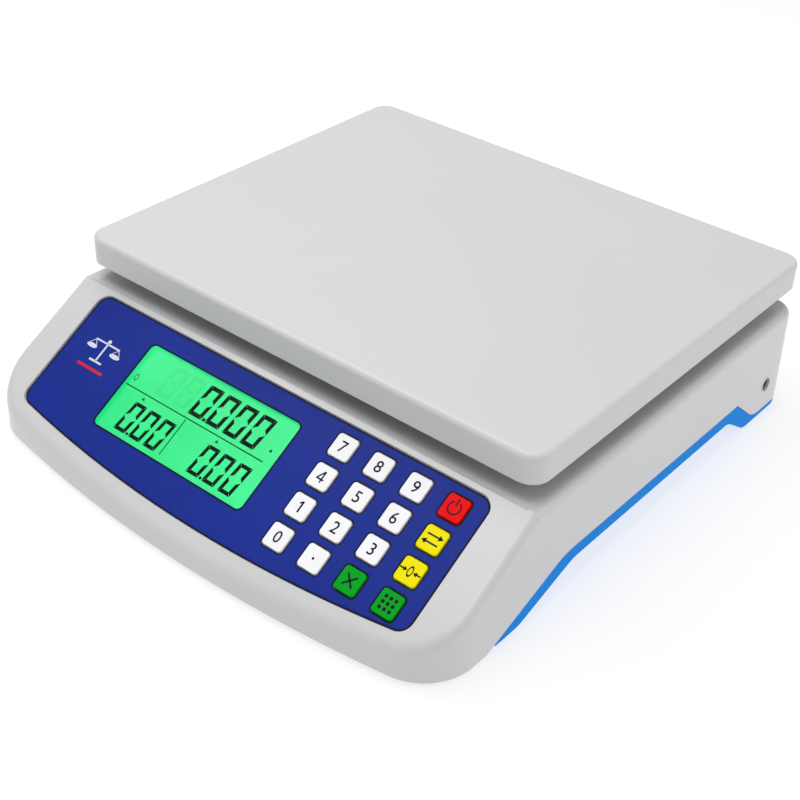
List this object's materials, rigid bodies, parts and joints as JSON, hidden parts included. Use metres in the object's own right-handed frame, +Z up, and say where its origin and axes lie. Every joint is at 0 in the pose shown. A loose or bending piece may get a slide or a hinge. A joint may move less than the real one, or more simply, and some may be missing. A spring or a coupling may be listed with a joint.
{
  "type": "retail price scale",
  "caption": "Counter-top price scale: flat weighing pan on a load cell, with a sloping keypad and display panel in front.",
  "frame": {"origin": "on the surface that the scale stands on, under the middle of its outer box", "axes": "+X to the user's right, +Y to the rear, away from the control panel, +Z up"},
  "size_m": [0.3, 0.3194, 0.086],
  "materials": {
    "housing_plastic": "moulded light grey ABS, fine satin grain",
    "tray_plastic": "moulded sky blue ABS, satin",
    "pan_plastic": "moulded off-white ABS, fine satin grain",
    "cast_aluminium": "cast and machined aluminium",
    "black_rubber": "black rubber",
    "white_sealant": "white silicone sealant",
    "zinc_steel": "zinc plated steel",
    "panel_film": "royal blue printed polyester film, satin gloss",
    "clear_window": "clear acrylic",
    "display_glass": "back-lit green liquid crystal display with dark digits",
    "light_guide": "milky light guide",
    "circuit_board": "green glass-epoxy board",
    "chip_plastic": "black moulded epoxy",
    "grey_silicone": "grey silicone",
    "battery_case": "black battery case",
    "inlet_plastic": "black moulded nylon with a plated pin",
    "white_key": "white moulded key cap, plain black digit",
    "red_key": "red moulded key cap",
    "yellow_key": "yellow moulded key cap",
    "green_key": "green moulded key cap"
  },
  "bodies": {
    "base": {"upper_housing": "housing_plastic", "base_tray": "tray_plastic", "battery_door": "tray_plastic", "lower_spacer": "cast_aluminium", "load_cell": "cast_aluminium", "rubber_feet": "black_rubber", "gauge_covers": "white_sealant", "cell_screws": "zinc_steel", "overload_stop": "zinc_steel", "main_board_screws": "zinc_steel", "key_board_screws": "zinc_steel", "rear_board_screws": "zinc_steel", "battery_door_screw": "zinc_steel", "case_screws": "zinc_steel", "panel_overlay": "panel_film", "front_lens": "clear_window", "rear_lens": "clear_window", "front_display": "display_glass", "rear_display": "display_glass", "front_backlight": "light_guide", "rear_backlight": "light_guide", "main_board": "circuit_board", "key_board": "circuit_board", "rear_board": "circuit_board", "board_parts": "chip_plastic", "buzzer": "chip_plastic", "key_mat": "grey_silicone", "battery": "battery_case", "power_inlet": "inlet_plastic"},
    "platform": {"platform_spider": "cast_aluminium", "platform_pads": "black_rubber", "upper_spacer": "cast_aluminium", "spider_screws": "zinc_steel"},
    "pan": {"weighing_pan": "pan_plastic"},
    "key_7": {"key_7": "white_key"},
    "key_8": {"key_8": "white_key"},
    "key_9": {"key_9": "white_key"},
    "key_power": {"key_power": "red_key"},
    "key_4": {"key_4": "white_key"},
    "key_5": {"key_5": "white_key"},
    "key_6": {"key_6": "white_key"},
    "key_mode": {"key_mode": "yellow_key"},
    "key_1": {"key_1": "white_key"},
    "key_2": {"key_2": "white_key"},
    "key_3": {"key_3": "white_key"},
    "key_tare": {"key_tare": "yellow_key"},
    "key_0": {"key_0": "white_key"},
    "key_point": {"key_point": "white_key"},
    "key_clear": {"key_clear": "green_key"},
    "key_count": {"key_count": "green_key"}
  },
  "joints": [
    {"name": "platform_deflection", "type": "slide", "parent": "base", "child": "platform", "axis": [0, 0, -1], "range_m": [0, 0.00035], "stiffness_N_per_m": 60000, "springref_m": -0.0004, "deforming": ["load_cell"]},
    {"name": "pan_lift", "type": "slide", "parent": "platform", "child": "pan", "axis": [0, 0, 1], "range_m": [0, 0.06]},
    {"name": "key_7_press", "type": "slide", "parent": "base", "child": "key_7", "axis": [0, 0.5186, -0.855], "range_m": [0, 0.0007], "stiffness_N_per_m": 300, "springref_m": -0.003},
    {"name": "key_8_press", "type": "slide", "parent": "base", "child": "key_8", "axis": [0, 0.5186, -0.855], "range_m": [0, 0.0007], "stiffness_N_per_m": 300, "springref_m": -0.003},
    {"name": "key_9_press", "type": "slide", "parent": "base", "child": "key_9", "axis": [0, 0.5186, -0.855], "range_m": [0, 0.0007], "stiffness_N_per_m": 300, "springref_m": -0.003},
    {"name": "key_power_press", "type": "slide", "parent": "base", "child": "key_power", "axis": [0, 0.5186, -0.855], "range_m": [0, 0.0007], "stiffness_N_per_m": 300, "springref_m": -0.003},
    {"name": "key_4_press", "type": "slide", "parent": "base", "child": "key_4", "axis": [0, 0.5186, -0.855], "range_m": [0, 0.0007], "stiffness_N_per_m": 300, "springref_m": -0.003},
    {"name": "key_5_press", "type": "slide", "parent": "base", "child": "key_5", "axis": [0, 0.5186, -0.855], "range_m": [0, 0.0007], "stiffness_N_per_m": 300, "springref_m": -0.003},
    {"name": "key_6_press", "type": "slide", "parent": "base", "child": "key_6", "axis": [0, 0.5186, -0.855], "range_m": [0, 0.0007], "stiffness_N_per_m": 300, "springref_m": -0.003},
    {"name": "key_mode_press", "type": "slide", "parent": "base", "child": "key_mode", "axis": [0, 0.5186, -0.855], "range_m": [0, 0.0007], "stiffness_N_per_m": 300, "springref_m": -0.003},
    {"name": "key_1_press", "type": "slide", "parent": "base", "child": "key_1", "axis": [0, 0.5186, -0.855], "range_m": [0, 0.0007], "stiffness_N_per_m": 300, "springref_m": -0.003},
    {"name": "key_2_press", "type": "slide", "parent": "base", "child": "key_2", "axis": [0, 0.5186, -0.855], "range_m": [0, 0.0007], "stiffness_N_per_m": 300, "springref_m": -0.003},
    {"name": "key_3_press", "type": "slide", "parent": "base", "child": "key_3", "axis": [0, 0.5186, -0.855], "range_m": [0, 0.0007], "stiffness_N_per_m": 300, "springref_m": -0.003},
    {"name": "key_tare_press", "type": "slide", "parent": "base", "child": "key_tare", "axis": [0, 0.5186, -0.855], "range_m": [0, 0.0007], "stiffness_N_per_m": 300, "springref_m": -0.003},
    {"name": "key_0_press", "type": "slide", "parent": "base", "child": "key_0", "axis": [0, 0.5186, -0.855], "range_m": [0, 0.0007], "stiffness_N_per_m": 300, "springref_m": -0.003},
    {"name": "key_point_press", "type": "slide", "parent": "base", "child": "key_point", "axis": [0, 0.5186, -0.855], "range_m": [0, 0.0007], "stiffness_N_per_m": 300, "springref_m": -0.003},
    {"name": "key_clear_press", "type": "slide", "parent": "base", "child": "key_clear", "axis": [0, 0.5186, -0.855], "range_m": [0, 0.0007], "stiffness_N_per_m": 300, "springref_m": -0.003},
    {"name": "key_count_press", "type": "slide", "parent": "base", "child": "key_count", "axis": [0, 0.5186, -0.855], "range_m": [0, 0.0007], "stiffness_N_per_m": 300, "springref_m": -0.003}
  ]
}
